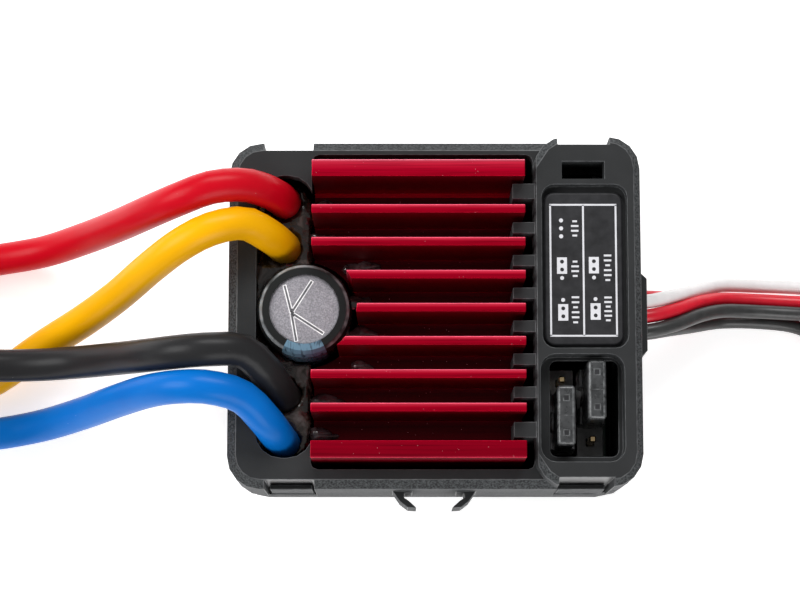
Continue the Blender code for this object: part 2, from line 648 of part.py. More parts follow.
def cords(b):
    for name, places in ROUTES.items():
        diameter = POWER_DIAMETER if name.startswith("power") else LEAD_DIAMETER
        b.tube(name, places, diameter, name.rsplit("_", 1)[1])


def stadium(left, right, y, radius, steps=10):
    """An outline with two straight sides along X and a half circle at each end."""
    points = []
    for x, start in ((right, -90), (left, 90)):
        for step in range(steps + 1):
            angle = math.radians(start + 180 * step / steps)
            points.append((x + radius * math.cos(angle), y + radius * math.sin(angle)))
    return points


def power_hank(b):
    """Two turns of all four wires, laid two abreast and one on another."""
    (left, right), y, radius, (low, high) = POWER_HANK
    hank = b.prism("power_wire_hank", stadium(left, right, y, radius), low, high, "red")
    b.cut(hank, b.prism("power_hank_hole", stadium(left, right, y, POWER_HANK_HOLE), low - 1.0, high + 1.0))


def lead_hank(b, name, shape, paint):
    (left, right), y, radius, (low, high) = shape
    return b.prism(name, stadium(left, right, y, radius), low, high, paint)


def tie(b, name, x, half_width, front, back, top):
    """A flat band round a hank, crosswise."""
    thick = 0.35
    clear = 0.25
    low = (x - half_width, front - clear - thick, 0.0)
    high = (x + half_width, back + clear + thick, top + clear + thick)
    band = b.box(name, low, high, "case")
    inside_low = (x - half_width - 1.0, front - clear, thick)
    inside_high = (x + half_width + 1.0, back + clear, top + clear)
    b.cut(band, b.box(name + "_hole", inside_low, inside_high))


def lead_tail(b, hank, name, outline, low, high):
    """The strands' flat run from a hank to what is on their end."""
    b.join(hank, b.prism(name, outline, low, high))


def hanks_and_ties(b):
    power_hank(b)
    (west_x, east_x), y, radius, (_, top) = POWER_HANK
    tie(b, "power_hank_tie", (west_x + east_x) / 2, 1.5, y + POWER_HANK_HOLE, y + radius, top)
    receiver = lead_hank(b, "receiver_lead_hank", RECEIVER_HANK, "white")
    left, right, front, back = RECEIVER_PLUG
    tail = [(58.0, 1.0), (left - 0.3, front + 0.5), (left - 0.3, back - 0.5), (58.0, 5.1)]
    lead_tail(b, receiver, "receiver_tail", tail, 0.6, 5.6)
    _, y, radius, (_, top) = RECEIVER_HANK
    tie(b, "receiver_hank_tie", RECEIVER_TIE_X, 1.0, y - radius, y + radius, top)
    switch = lead_hank(b, "switch_lead_hank", SWITCH_HANK, "black")
    face = SWITCH_X - SWITCH_LENGTH / 2 - 0.3
    lead_tail(b, switch, "switch_tail", [(55.0, -3.5), (face, -7.1), (face, -3.9), (56.0, 0.2)], 2.4, 4.6)
    _, y, radius, (_, top) = SWITCH_HANK
    tie(b, "switch_hank_tie", SWITCH_TIE_X, 1.0, y - radius, y + radius, top)


def battery_plug(b):
    front = PLUG_BACK - PLUG_LENGTH
    outline = outline_box(front, PLUG_BACK, PLUG_Y - PLUG_HALF_Y, PLUG_Y + PLUG_HALF_Y, 1.2, 2)
    housing = b.prism("battery_plug_housing", outline, 0.0, PLUG_HEIGHT, "plug")
    b.bevel(housing, 0.5)
    for side, name, half_y, half_z in ((1, "positive", 0.45, 2.7), (-1, "negative", 2.7, 0.45)):
        y, z = PLUG_Y + side * BLADE_OFFSET, PLUG_HEIGHT / 2
        slot = b.box(f"slot_{name}", (front - 1.0, y - half_y - 0.05, z - half_z - 0.05),
                     (front + 7.0, y + half_y + 0.05, z + half_z + 0.05))
        b.cut(housing, slot)
        blade = b.box(f"battery_plug_blade_{name}", (front - 8.0, y - half_y, z - half_z),
                      (front + 6.9, y + half_y, z + half_z), "gold")
        b.bevel(blade, 0.15)


def motor_bullets(b):
    for colour, (back, y) in BULLETS.items():
        axis = (y, BULLET_Z)
        name = f"motor_bullet_sleeve_{colour}"
        sleeve = b.cylinder(name, axis, BULLET_Z, back - 11.0, back, colour, 24, "X")
        bore = b.cylinder(f"sleeve_bore_{colour}", axis, 2.05, back - 12.0, back - 1.2, None, 24, "X")
        b.cut(sleeve, bore)
        body = b.cylinder(f"motor_bullet_{colour}", axis, 2.0, back - 18.0, back - 1.3, "gold", 24, "X")
        b.bevel(body, 0.35)
        for turn in (0, 1):
            slit = b.box(f"slit_{colour}_{turn}", (back - 19.0, -0.2, -2.6), (back - 13.0, 0.2, 2.6))
            slit.rotation_euler = (turn * math.pi / 2, 0.0, 0.0)
            slit.location = ((back - 16.0) * MM, axis[0] * MM, axis[1] * MM)
            b.cut(body, slit)
        b.cut(body, b.cylinder(f"bullet_bore_{colour}", axis, 1.2, back - 19.0, back - 12.5, None, 16, "X"))


def receiver_plug(b):
    left, right, front, back = RECEIVER_PLUG
    height = 2.6
    plug = b.box("receiver_plug", (left, front, 0.0), (right, back, height), "case")
    b.bevel(plug, 0.25)
    middle = (front + back) / 2
    half = PIN_WIDTH / 2 + 0.15
    for step in (-1, 0, 1):
        y = middle + step * PIN_PITCH
        b.cut(plug, b.box(f"plug_socket_{step}", (right - 7.0, y - half, height / 2 - half),
                          (right + 1.0, y + half, height / 2 + half)))
        b.cut(plug, b.box(f"plug_window_{step}", (right - 6.6, y - 0.5, height / 2 + half - 0.1),
                          (right - 4.2, y + 0.5, height + 1.0)))


def power_switch(b):
    x, y = SWITCH_X, SWITCH_Y
    half = SWITCH_LENGTH / 2
    body = b.box("switch_body", (x - half, y - 3.5, 0.0), (x + half, y + 3.5, 6.5), "case")
    b.bevel(body, 0.4)
    b.cut(body, b.box("switch_well", (x - 4.9, y - 2.6, 3.6), (x + 4.9, y + 2.6, 8.0)))
    outline = outline_box(x - 10.2, x + 10.2, y - 3.8, y + 3.8, 2.6)
    plate = b.prism("switch_plate", outline, 6.6, 7.8, "case")
    b.cut(plate, b.box("knob_slot", (x - 3.7, y - 1.7, 6.0), (x + 3.7, y + 1.7, 9.0)))
    for side in (-1, 1):
        b.cut(plate, b.cylinder(f"ear_hole_{side}", (x + side * 8.0, y), 1.3, 6.0, 9.0, None, 20))
    start = x - SWITCH_TRAVEL / 2
    knob = b.box("switch_knob", (start - 2.0, y - 1.5, 5.0), (start + 2.0, y + 1.5, 10.0), "case")
    b.bevel(knob, 0.3)
    b.join(knob, b.box("knob_flange", (start - 3.0, y - 2.3, 4.0), (start + 3.0, y + 2.3, 6.2)))
    return knob


def build():
    clear_scene()
    b = Builder()
    base_tray(b)
    top_cover(b)
    label_plate(b)
    heat_sink(b)
    board_and_chips(b)
    capacitor(b)
    headers_and_jumpers(b)
    potting(b)
    cords(b)
    hanks_and_ties(b)
    battery_plug(b)
    motor_bullets(b)
    receiver_plug(b)
    power_switch(b)


build()
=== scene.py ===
"""Looks of a model car's electronic speed controller: materials, fine surface, cords, light and camera.

Lengths are written in millimetres and multiplied by MM where a mesh or an object takes metres.
"""

import json
import math
import random

import bmesh
import bpy
from mathutils import Matrix, Vector, noise


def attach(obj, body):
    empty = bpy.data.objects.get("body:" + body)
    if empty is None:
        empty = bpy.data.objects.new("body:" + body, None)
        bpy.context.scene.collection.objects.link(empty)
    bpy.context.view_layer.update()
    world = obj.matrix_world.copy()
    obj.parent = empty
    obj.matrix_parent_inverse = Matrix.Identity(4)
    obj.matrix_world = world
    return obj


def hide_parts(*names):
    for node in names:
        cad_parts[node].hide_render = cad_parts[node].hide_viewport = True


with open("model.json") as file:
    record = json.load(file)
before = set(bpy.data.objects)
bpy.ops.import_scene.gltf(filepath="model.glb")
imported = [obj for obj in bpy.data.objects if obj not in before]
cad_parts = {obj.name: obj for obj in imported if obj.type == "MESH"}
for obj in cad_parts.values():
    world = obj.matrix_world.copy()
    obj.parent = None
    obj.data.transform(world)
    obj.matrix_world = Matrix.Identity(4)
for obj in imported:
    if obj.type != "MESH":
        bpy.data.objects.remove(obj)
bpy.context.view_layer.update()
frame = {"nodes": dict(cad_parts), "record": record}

MM = 0.001
MAIN_BODY = "controller"

# Heat sink, cover and capacitor, as in the model
FIN_PITCH = 2.91
WIDE_FIN_INNER = 11.2
WIDE_FIN_EDGE = 13.11
CHANNEL_FLOOR = 10.0
SINK_CUTOUT_RADIUS = 4.8
NOTCH_X = (10.4, 15.8)
NOTCH_WALL_Y = 14.7
NOTCH_WALL_WITHIN = 0.05
CAP_CENTRE = (-11.4, 0.25)
CAN_TOP = 14.95

# Resin smears start at the left end of a channel, and further right where the capacitor shortens it
SMEAR_X = -9.9
SMEAR_X_NEAR_CAN = -6.6
SMEARS_PER_CHANNEL = 3
SMEAR_SEED = 7
RESIN_WAVE_SIZE = 2.4

# Marks on the capacitor: the stripe's half width per length, and the pressed lines as (angle, length)
STRIPE_SPREAD = 0.54
SCORE_CENTRE = (-12.53, -0.07)
SCORE_ARMS = ((104.4, 2.58), (-80.0, 2.6), (57.6, 3.4), (-33.0, 3.4))
SCORE_LIP_WIDTH = 0.36
SCORE_GROOVE_WIDTH = 0.17
SCORE_GROOVE_SHORTER = 0.15

# Label print: frame (left, right, front, back), dots (x, y), jumper symbols (x, y, side of the free pin)
# and rows of bars (x, low, high)
LABEL_TOP = 16.3
FRAME_SIZE = (10.27, 16.03, -2.29, 9.36)
FRAME_LINE = 0.16
FRAME_DIVIDER = 13.16
PRINT_DOTS = ((11.22, 7.96), (11.22, 7.25), (11.22, 6.54))
PRINT_ICONS = ((11.27, 3.93, -1), (14.07, 3.97, -1), (11.34, -0.22, 1), (14.18, -0.14, 1))
PRINT_MARKS = (
    (12.42, 6.4, 8.1), (12.42, 2.8, 4.5), (12.42, -1.32, 1.34), (15.28, 2.43, 5.05), (15.28, -1.12, 1.3),
)
ICON_SIZE = (0.88, 1.46)
BAR_SPACING = 0.44
BAR_THICKNESS = 0.17
LONG_BAR = 0.66
SHORT_BAR = 0.42
LABEL_DOT = 0.18
PIN_DOT = 0.17
FREE_PIN_OFFSET = 1.1
CAPPED_PIN_OFFSET = 0.35

# Jumper caps: the middle of each top, and the sizes of the marks on it
JUMPERS = {"mode_jumper": (11.55, -9.25), "battery_jumper": (14.25, -6.98)}
JUMPER_TOP = 16.2
SPLIT_LINE = (1.3, 0.07)
WINDOW_OFFSET = 1.53
WINDOW_RIM = (0.62, 0.62)
WINDOW_HOLE = (0.4, 0.42)

# Flat marks stand this far over their surface
LOW_LAYER = 0.005
HIGH_LAYER = 0.012
TOP_LAYER = 0.015

# Camera
CAMERA_AT = Vector((-2.96, -31.92, 235.74))
CAMERA_AIM = Vector((-2.96, 1.19, 14.2))
CAMERA_LENS = 113.9

# Stage: half the floor's side in metres, and the point that the lights face
FLOOR_HALF = 3.0
LIGHT_AIM = (0, 0, 8)

# Cords: hanks, lanes and heights as in the model
POWER_DIAMETER = 3.0
LEAD_DIAMETER = 1.3
POWER_FOLDS = (-73.0, -57.5)
POWER_HANK_Y = -7.5
POWER_LANES = {"red": 12.1, "black": 12.1, "yellow": 9.0, "blue": 9.0}
POWER_FIRST_Z = {"red": 2.0, "black": 5.1, "yellow": 2.0, "blue": 5.1}
POWER_CLIMB = 6.2
RECEIVER_FOLDS = (42.4, 57.2)
RECEIVER_HANK_Y = 7.4
RECEIVER_LANES = {"white": 4.4, "red": 5.07, "black": 5.75}
RECEIVER_FIRST_Z = {"white": 1.15, "red": 2.28, "black": 1.15}
RECEIVER_CLIMB = 2.24
SWITCH_FOLDS = (42.4, 55.8)
SWITCH_HANK_Y = -6.35
SWITCH_LANES = {"red": 5.75, "black": 4.4}
SWITCH_FIRST_Z = {"red": 1.1, "black": 1.1}
SWITCH_CLIMB = 1.3
LEAD_TURNS = 2
POWER_CLIMB_SHARES = (0.42, 0.78)
LEAD_CLIMB_SHARES = (0.5, 0.75)
LEAD_REST_Z = 1.3
TAB_Z = 3.6
POWER_SPACING = 1.2
LEAD_SPACING = 0.8
CURVE_STEP = 12


# Cord routes: from the board to a hank, and from the hank to the plug or the switch

POWER_STARTS = {
    "red": (
        (-13.3, 10.6, 4.9), (-13.3, 10.6, 9.5), (-13.5, 10.5, 12.4), (-14.6, 10.65, 15.7),
        (-16.69, 10.95, 17.3), (-19.49, 10.57, 18.15), (-22.27, 9.7, 17.4), (-25.04, 9.05, 14.96),
        (-28.16, 8.53, 11.05), (-31.91, 8.06, 6.5), (-36.12, 7.38, 3.18), (-40.8, 6.8, 1.85),
        (-45.0, 6.15, 1.9), (-50.5, 5.2, 2.0), (-57.0, 4.65, 2.0), (-64.5, 4.6, 2.0),
    ),
    "yellow": (
        (-13.3, 6.4, 4.9), (-13.3, 6.4, 9.5), (-13.6, 6.45, 12.4), (-14.65, 6.8, 15.6),
        (-16.69, 7.55, 17.22), (-19.49, 6.87, 18.15), (-22.27, 5.55, 17.4), (-25.04, 3.96, 14.96),
        (-28.16, 2.16, 11.05), (-31.88, 0.43, 6.53), (-36.12, -1.57, 3.18), (-40.5, -4.4, 1.9),
        (-43.6, -5.6, 2.0), (-46.4, -5.3, 2.0), (-49.6, -3.5, 2.0), (-53.2, -0.9, 2.0), (-57.5, 1.0, 2.0),
        (-62.0, 1.5, 2.0), (-67.0, 1.5, 2.0),
    ),
    "black": (
        (-13.2, -7.0, 4.9), (-13.2, -7.0, 9.5), (-13.6, -6.8, 12.4), (-14.65, -5.4, 15.6),
        (-16.69, -3.72, 17.22), (-19.49, -3.72, 18.15), (-22.27, -3.83, 17.4), (-25.09, -3.82, 14.91),
        (-28.54, -3.59, 10.54), (-32.41, -3.49, 7.1), (-36.56, -3.54, 5.49), (-41.2, -3.45, 5.1),
        (-45.0, -2.5, 5.1), (-50.0, 0.9, 5.1), (-54.5, 3.5, 5.1), (-60.0, 4.55, 5.1), (-66.0, 4.6, 5.1),
    ),
    "blue": (
        (-13.3, -11.2, 4.9), (-13.3, -11.2, 9.5), (-13.6, -11.0, 12.4), (-14.65, -9.7, 15.6),
        (-16.69, -7.75, 17.22), (-19.49, -7.02, 18.15), (-22.27, -6.9, 17.4), (-25.04, -7.01, 14.96),
        (-28.16, -7.43, 11.05), (-31.91, -8.12, 6.5), (-36.13, -8.92, 3.17), (-40.8, -9.6, 2.0),
        (-43.6, -9.6, 2.0), (-47.0, -8.5, 2.6), (-50.5, -5.9, 3.9), (-54.5, -2.2, 5.0), (-59.0, 0.7, 5.1),
        (-63.5, 1.5, 5.1), (-68.0, 1.5, 5.1),
    ),
}
POWER_ENDS = {
    "red": (
        (-63.0, 4.6, 8.2), (-71.0, 4.8, 8.2), (-79.0, 6.3, 8.0), (-84.0, 8.1, 7.0), (-87.4, 9.0, 5.1),
        (-90.4, 9.25, 3.8), (-92.6, 9.2, 3.5), (-94.6, 9.2, 3.5),
    ),
    "black": (
        (-63.0, 4.6, 11.3), (-71.0, 4.4, 11.3), (-79.0, 3.4, 10.4), (-84.3, 2.7, 8.5), (-88.2, 2.65, 5.5),
        (-90.8, 2.8, 3.9), (-92.8, 2.8, 3.5), (-94.6, 2.8, 3.5),
    ),
    "yellow": (
        (-63.0, 1.4, 8.2), (-70.0, 0.2, 8.2), (-76.0, -2.4, 8.2), (-82.0, -4.9, 8.2), (-85.6, -5.7, 8.1),
        (-88.0, -6.1, 6.9), (-90.2, -6.4, 5.1), (-92.5, -6.5, 3.6), (-95.0, -6.5, 2.6), (-97.5, -6.5, 2.5),
    ),
    "blue": (
        (-63.0, 1.4, 11.3), (-70.0, -1.2, 11.2), (-76.0, -5.0, 10.6), (-82.0, -9.0, 9.2),
        (-86.8, -11.2, 7.5), (-89.5, -12.3, 5.6), (-92.2, -12.6, 3.7), (-95.0, -12.5, 2.6),
        (-97.5, -12.5, 2.5),
    ),
}

RECEIVER_STARTS = {
    "white": (
        (15.6, 2.02, 7.3), (17.5, 2.02, 7.3), (19.8, 2.12, 7.2), (22.3, 2.85, 5.7), (24.6, 3.65, 3.5),
        (27.0, 4.4, 1.8), (30.5, 4.45, 1.15), (34.4, 4.3, 1.1), (38.0, 3.95, 1.1), (41.5, 3.3, 1.15),
        (45.0, 3.0, 1.15),
    ),
    "red": (
        (15.6, 0.66, 7.3), (17.5, 0.66, 7.3), (19.8, 0.76, 7.25), (22.3, 1.47, 6.1), (24.6, 2.4, 4.4),
        (27.0, 2.95, 2.75), (30.5, 2.95, 1.9), (34.4, 2.78, 1.7), (38.0, 2.75, 1.8), (41.5, 2.45, 2.15),
        (45.0, 2.33, 2.28),
    ),
    "black": (
        (15.6, -0.7, 7.3), (17.5, -0.7, 7.3), (19.8, -0.6, 7.3), (22.3, 0.1, 6.45), (24.6, 1.1, 5.15),
        (27.0, 1.75, 3.65), (30.5, 1.8, 2.65), (34.4, 1.63, 2.35), (38.0, 1.6, 1.6), (41.5, 1.65, 1.2),
        (45.0, 1.65, 1.15),
    ),
}
RECEIVER_SOCKETS = {"white": 3.59, "red": 1.05, "black": -1.49}
RECEIVER_TAIL = {
    "white": ((58.5, 0.2, 1.02), (60.8, 0.6, 1.0), (63.0, 0.9, 0.62), (64.8, 1.0, 0.16), (66.5, 1.0, 0.0)),
    "red": ((57.8, 0.05, 0.96), (60.0, 0.3, 0.76), (62.4, 0.75, 0.4), (64.6, 1.0, 0.08), (66.5, 1.0, 0.0)),
    "black": ((57.6, 0.05, 0.93), (60.0, 0.35, 0.64), (62.4, 0.8, 0.26), (64.5, 1.0, 0.04), (66.5, 1.0, 0.0)),
}

SWITCH_STARTS = {
    "red": (
        (15.6, 2.6, 5.8), (17.5, 2.6, 5.8), (19.6, 2.7, 5.6), (21.6, 2.8, 4.3), (23.8, 2.6, 2.0),
        (26.5, 2.5, 0.8), (30.5, 2.45, 0.7), (34.0, 2.1, 0.7), (37.5, 0.6, 0.8), (41.0, -0.4, 1.0),
        (45.0, -0.6, 1.1),
    ),
    "black": (
        (15.6, -0.6, 5.8), (17.5, -0.6, 5.8), (19.6, -0.6, 5.6), (21.8, -0.1, 4.3), (24.2, 0.5, 2.2),
        (27.0, 1.1, 0.8), (30.5, 1.1, 0.7), (34.3, 0.6, 0.7), (37.5, -1.1, 0.8), (41.0, -1.85, 1.0),
        (45.0, -1.95, 1.1),
    ),
}
SWITCH_TABS = {"red": -4.9, "black": -6.3}

# Shaders


class Paint:
    """A Principled material and short ways to drive its sockets."""

    def __init__(self, name, colour, roughness, metallic=0.0, **inputs):
        self.material = bpy.data.materials.new(name)
        self.material.use_nodes = True
        self.tree = self.material.node_tree
        self.shader = self.tree.nodes["Principled BSDF"]
        self.shader.inputs["Base Color"].default_value = (*colour, 1.0)
        self.shader.inputs["Roughness"].default_value = roughness
        self.shader.inputs["Metallic"].default_value = metallic
        for socket, value in inputs.items():
            self.shader.inputs[socket.replace("_", " ")].default_value = value
        self.place = None

    def node(self, kind, **settings):
        made = self.tree.nodes.new(kind)
        for name, value in settings.items():
            setattr(made, name, value)
        return made

    def link(self, source, target):
        self.tree.links.new(source, target)

    def position(self, stretch=(1.0, 1.0, 1.0)):
        """Object coordinates in millimetres, stretched along the axes."""
        coordinates = self.node("ShaderNodeTexCoord")
        mapping = self.node("ShaderNodeMapping")
        mapping.inputs["Scale"].default_value = [value / MM for value in stretch]
        self.link(coordinates.outputs["Object"], mapping.inputs["Vector"])
        return mapping.outputs["Vector"]

    def axis(self, name):
        """One object coordinate in millimetres."""
        split = self.node("ShaderNodeSeparateXYZ")
        self.link(self.position(), split.inputs[0])
        return split.outputs[name]

    def noise(self, per_mm, detail=3.0, stretch=(1.0, 1.0, 1.0), distortion=0.0):
        made = self.node("ShaderNodeTexNoise")
        made.inputs["Scale"].default_value = per_mm
        made.inputs["Detail"].default_value = detail
        made.inputs["Distortion"].default_value = distortion
        self.link(self.position(stretch), made.inputs["Vector"])
        return made.outputs["Fac"]

    def spots(self, per_mm, stretch=(1.0, 1.0, 1.0)):
        made = self.node("ShaderNodeTexVoronoi")
        made.inputs["Scale"].default_value = per_mm
        self.link(self.position(stretch), made.inputs["Vector"])
        return made.outputs["Distance"]

    def ramp(self, value, *stops):
        """A colour ramp from (position, colour) stops; a bare number as colour means grey."""
        made = self.node("ShaderNodeValToRGB")
        elements = made.color_ramp.elements
        while len(elements) < len(stops):
            elements.new(0.5)
        for element, (position, colour) in zip(elements, stops):
            element.position = position
            element.color = (colour, colour, colour, 1.0) if isinstance(colour, float) else (*colour, 1.0)
        self.link(value, made.inputs["Fac"])
        return made.outputs["Color"]

    def mix(self, factor, first, second):
        """Mixes two colours; each is a socket or a colour."""
        made = self.node("ShaderNodeMix", data_type="RGBA")
        for index, value in ((6, first), (7, second)):
            if isinstance(value, tuple):
                made.inputs[index].default_value = (*value, 1.0)
            else:
                self.link(value, made.inputs[index])
        self.link(factor, made.inputs[0])
        return made.outputs[2]

    def math(self, operation, first, second):
        made = self.node("ShaderNodeMath", operation=operation)
        for index, value in enumerate((first, second)):
            if isinstance(value, (int, float)):
                made.inputs[index].default_value = value
            else:
                self.link(value, made.inputs[index])
        return made.outputs[0]

    def rough(self, value, low, high):
        made = self.node("ShaderNodeMapRange")
        made.inputs["To Min"].default_value = low
        made.inputs["To Max"].default_value = high
        self.link(value, made.inputs["Value"])
        self.link(made.outputs["Result"], self.shader.inputs["Roughness"])

    def colour(self, socket):
        self.link(socket, self.shader.inputs["Base Color"])

    def bump(self, height, depth_mm, strength=1.0):
        made = self.node("ShaderNodeBump")
        made.inputs["Distance"].default_value = depth_mm * MM
        made.inputs["Strength"].default_value = strength
        self.link(height, made.inputs["Height"])
        self.link(made.outputs["Normal"], self.shader.inputs["Normal"])

    def upness(self):
        """How far the surface faces up, from -1 to 1."""
        geometry = self.node("ShaderNodeNewGeometry")
        split = self.node("ShaderNodeSeparateXYZ")
        self.link(geometry.outputs["Normal"], split.inputs[0])
        return split.outputs["Z"]


def case_paint():
    """Black nylon: fine grained on slopes and walls, smoother and a little mottled on top."""
    paint = Paint("case_nylon", (0.04, 0.041, 0.042), 0.5, Specular_IOR_Level=0.14)
    grain = paint.noise(6.0, 4.0)
    cloud = paint.noise(0.35, 3.0)
    up = paint.upness()
    slope = paint.ramp(up, (0.55, 1.0), (0.93, 1.0), (0.97, 0.0))
    smooth = paint.mix(cloud, (0.019, 0.02, 0.021), (0.031, 0.032, 0.033))
    rough = paint.ramp(grain, (0.35, (0.014, 0.015, 0.016)), (0.68, (0.075, 0.08, 0.083)))
    paint.colour(paint.mix(slope, smooth, rough))
    paint.rough(cloud, 0.5, 0.64)
    paint.bump(grain, 0.02, 0.6)
    return paint.material


def case_edge_highlight_paint():
    """A painted highlight line along the case's bevelled edges, uneven in strength."""
    paint = Paint("case_edge_highlight", (0.1, 0.105, 0.11), 0.45)
    highlight_strength = paint.noise(1.6, 3.0)
    # Painted highlight: the edge bevels are painted lighter than the case, with noise in their strength.
    paint.colour(paint.ramp(highlight_strength, (0.35, (0.035, 0.037, 0.039)), (0.7, (0.09, 0.094, 0.098))))
    return paint.material


def red_metal_paint():
    """Crimson anodised aluminium with painted light and shade: each fin's top in two painted tones with a
    painted highlight line, painted shade in the channels, drawn streaks and dusty specks.
    """
    paint = Paint("red_anodised", (0.5, 0.0, 0.02), 0.42, 0.75, Specular_IOR_Level=0.1)
    y = paint.axis("Y")
    pitch_share = paint.math("FRACT", paint.math("ADD", paint.math("DIVIDE", y, FIN_PITCH), 10.5), 0.0)
    # Painted light and shade across each fin pitch: dark painted shade on the channel floors and walls, and
    # each fin's top painted lighter towards its back edge, up to a pink painted highlight line there.
    thin_fin_light_and_shade = paint.ramp(
        pitch_share, (0.0, (0.07, 0.004, 0.007)), (0.2, (0.045, 0.004, 0.006)), (0.345, (0.09, 0.002, 0.008)),
        (0.37, (0.36, 0.0, 0.012)), (0.5, (0.46, 0.0, 0.018)), (0.54, (0.62, 0.01, 0.036)),
        (0.59, (0.78, 0.04, 0.09)), (0.628, (0.82, 0.13, 0.2)), (0.65, (0.13, 0.001, 0.006)),
        (0.8, (0.1, 0.003, 0.008)), (1.0, (0.07, 0.004, 0.007)),
    )
    wide_share = paint.math("DIVIDE", paint.math("ADD", y, WIDE_FIN_EDGE), 2 * WIDE_FIN_EDGE)
    # Wide outer fins, upward faces only: a painted highlight line at the front edge, and the top painted
    # lighter towards the back edge, ending in a pink painted highlight line.
    wide_fin_highlights = paint.ramp(
        wide_share, (0.0, (0.6, 0.02, 0.06)), (0.006, (0.3, 0.0, 0.012)), (0.05, (0.34, 0.0, 0.014)),
        (0.5, (0.3, 0.0, 0.012)), (0.945, (0.4, 0.0, 0.014)), (0.965, (0.48, 0.0, 0.02)),
        (0.982, (0.62, 0.01, 0.04)), (0.993, (0.7, 0.03, 0.07)), (1.0, (0.82, 0.2, 0.28)),
    )
    facing_up = paint.ramp(paint.upness(), (0.2, 0.0), (0.5, 1.0))
    outside = paint.math("GREATER_THAN", paint.math("ABSOLUTE", y, 0.0), WIDE_FIN_INNER)
    painted_light_tone = paint.mix(outside, thin_fin_light_and_shade, paint.mix(facing_up, (0.26, 0.0, 0.011), wide_fin_highlights))
    streak = paint.noise(2.2, 4.0, (0.05, 3.0, 3.0))
    worn = paint.mix(paint.ramp(streak, (0.3, 0.35), (0.5, 0.0)), painted_light_tone, (0.02, 0.001, 0.003))
    dust = paint.ramp(paint.spots(2.0), (0.03, 1.0), (0.07, 0.0))
    paint.colour(paint.mix(dust, worn, (0.85, 0.35, 0.4)))
    paint.rough(streak, 0.26, 0.46)
    paint.bump(streak, 0.012, 0.5)
    return paint.material


def can_paint():
    """Bare aluminium with a fine cloudy etch."""
    paint = Paint("aluminium_can", (0.5, 0.49, 0.53), 0.42, 0.25)
    fine = paint.noise(8.0, 5.0)
    tones = (0.3, (0.19, 0.19, 0.2)), (0.5, (0.28, 0.27, 0.3)), (0.7, (0.4, 0.39, 0.42))
    paint.colour(paint.ramp(fine, *tones))
    paint.rough(fine, 0.34, 0.5)
    paint.bump(fine, 0.02, 0.6)
    return paint.material


def sleeve_paint():
    """Black shrink sleeve with a painted highlight ring near the rim and the pale stripe that marks the minus
    side.
    """
    black = (0.012, 0.013, 0.013)
    none = (0.0, 0.0, 0.0)
    paint = Paint("shrink_sleeve", black, 0.16, Specular_IOR_Level=0.35)
    across = paint.math("ABSOLUTE", paint.math("SUBTRACT", paint.axis("X"), CAP_CENTRE[0]), 0.0)
    forward = paint.math("SUBTRACT", CAP_CENTRE[1], paint.axis("Y"))
    stripe = paint.math("LESS_THAN", across, paint.math("MULTIPLY", forward, STRIPE_SPREAD))
    worn = paint.noise(2.0, 4.0, (2.2, 0.5, 0.5))
    mottled = paint.ramp(worn, (0.34, (0.05, 0.08, 0.11)), (0.48, (0.14, 0.25, 0.34)))
    body = paint.mix(stripe, black, mottled)
    # Painted highlight: a pale ring near the rim on upward faces, broken by noise and left off the stripe.
    square = paint.math("ADD", paint.math("POWER", across, 2.0), paint.math("POWER", forward, 2.0))
    radius = paint.math("DIVIDE", paint.math("SQRT", square, 0.0), 5.0)
    rim = paint.ramp(radius, (0.735, 0.0), (0.76, 1.0), (0.785, 1.0), (0.81, 0.0))
    lip = paint.mix(rim, none, paint.ramp(paint.upness(), (0.25, 0.0), (0.5, 1.0)))
    rim_highlight = paint.mix(lip, none, paint.ramp(paint.noise(0.7, 2.0), (0.4, 0.15), (0.62, 1.0)))
    rim_highlight = paint.mix(stripe, rim_highlight, none)
    paint.colour(paint.mix(rim_highlight, body, (0.3, 0.32, 0.33)))
    paint.bump(paint.noise(1.2, 3.0), 0.05, 0.5)
    return paint.material


def resin_paint():
    """Dark potting resin, brown where it is thin, with a wet gloss."""
    paint = Paint("potting_resin", (0.02, 0.014, 0.01), 0.1, Coat_Weight=0.5)
    cloud = paint.noise(0.7, 4.0, (1.0, 1.0, 1.0), 0.8)
    tones = (0.38, (0.008, 0.006, 0.005)), (0.55, (0.035, 0.022, 0.016)), (0.72, (0.16, 0.13, 0.12))
    paint.colour(paint.ramp(cloud, *tones))
    paint.rough(paint.noise(2.0, 3.0), 0.05, 0.22)
    paint.bump(paint.noise(1.4, 3.0), 0.12, 0.7)
    return paint.material


def silicone_paint(name, colour, dark, roughness=0.32):
    """Soft jacket: a faint cloudy tone, fine skin and specks of dust."""
    paint = Paint(name, colour, roughness, Specular_IOR_Level=0.13)
    cloud = paint.noise(0.25, 3.0)
    skin = paint.noise(6.0, 3.0)
    base = paint.mix(cloud, dark, colour)
    dust = paint.ramp(paint.spots(0.9), (0.012, 1.0), (0.03, 0.0))
    pale = tuple(min(1.0, value * 0.6 + 0.3) for value in colour)
    paint.colour(paint.mix(dust, base, pale))
    paint.rough(skin, roughness - 0.06, roughness + 0.08)
    paint.bump(skin, 0.006, 0.5)
    return paint.material


def jumper_paint():
    """Smoked plastic, dark at the tab, with painted light low down: the shoulders, which sit in the pocket's
    shade, are painted pale grey.
    """
    paint = Paint("smoked_plastic", (0.075, 0.077, 0.08), 0.28)
    cloud = paint.noise(1.2, 4.0)
    tab = paint.ramp(cloud, (0.3, (0.02, 0.021, 0.022)), (0.7, (0.06, 0.062, 0.064)))
    # Painted light: below the tab the plastic is painted pale grey to lift the pocket's shade.
    low = paint.ramp(paint.math("DIVIDE", paint.axis("Z"), 20.0), (0.5, 1.0), (0.56, 0.0))
    paint.colour(paint.mix(low, tab, (0.24, 0.245, 0.25)))
    paint.rough(cloud, 0.22, 0.34)
    return paint.material


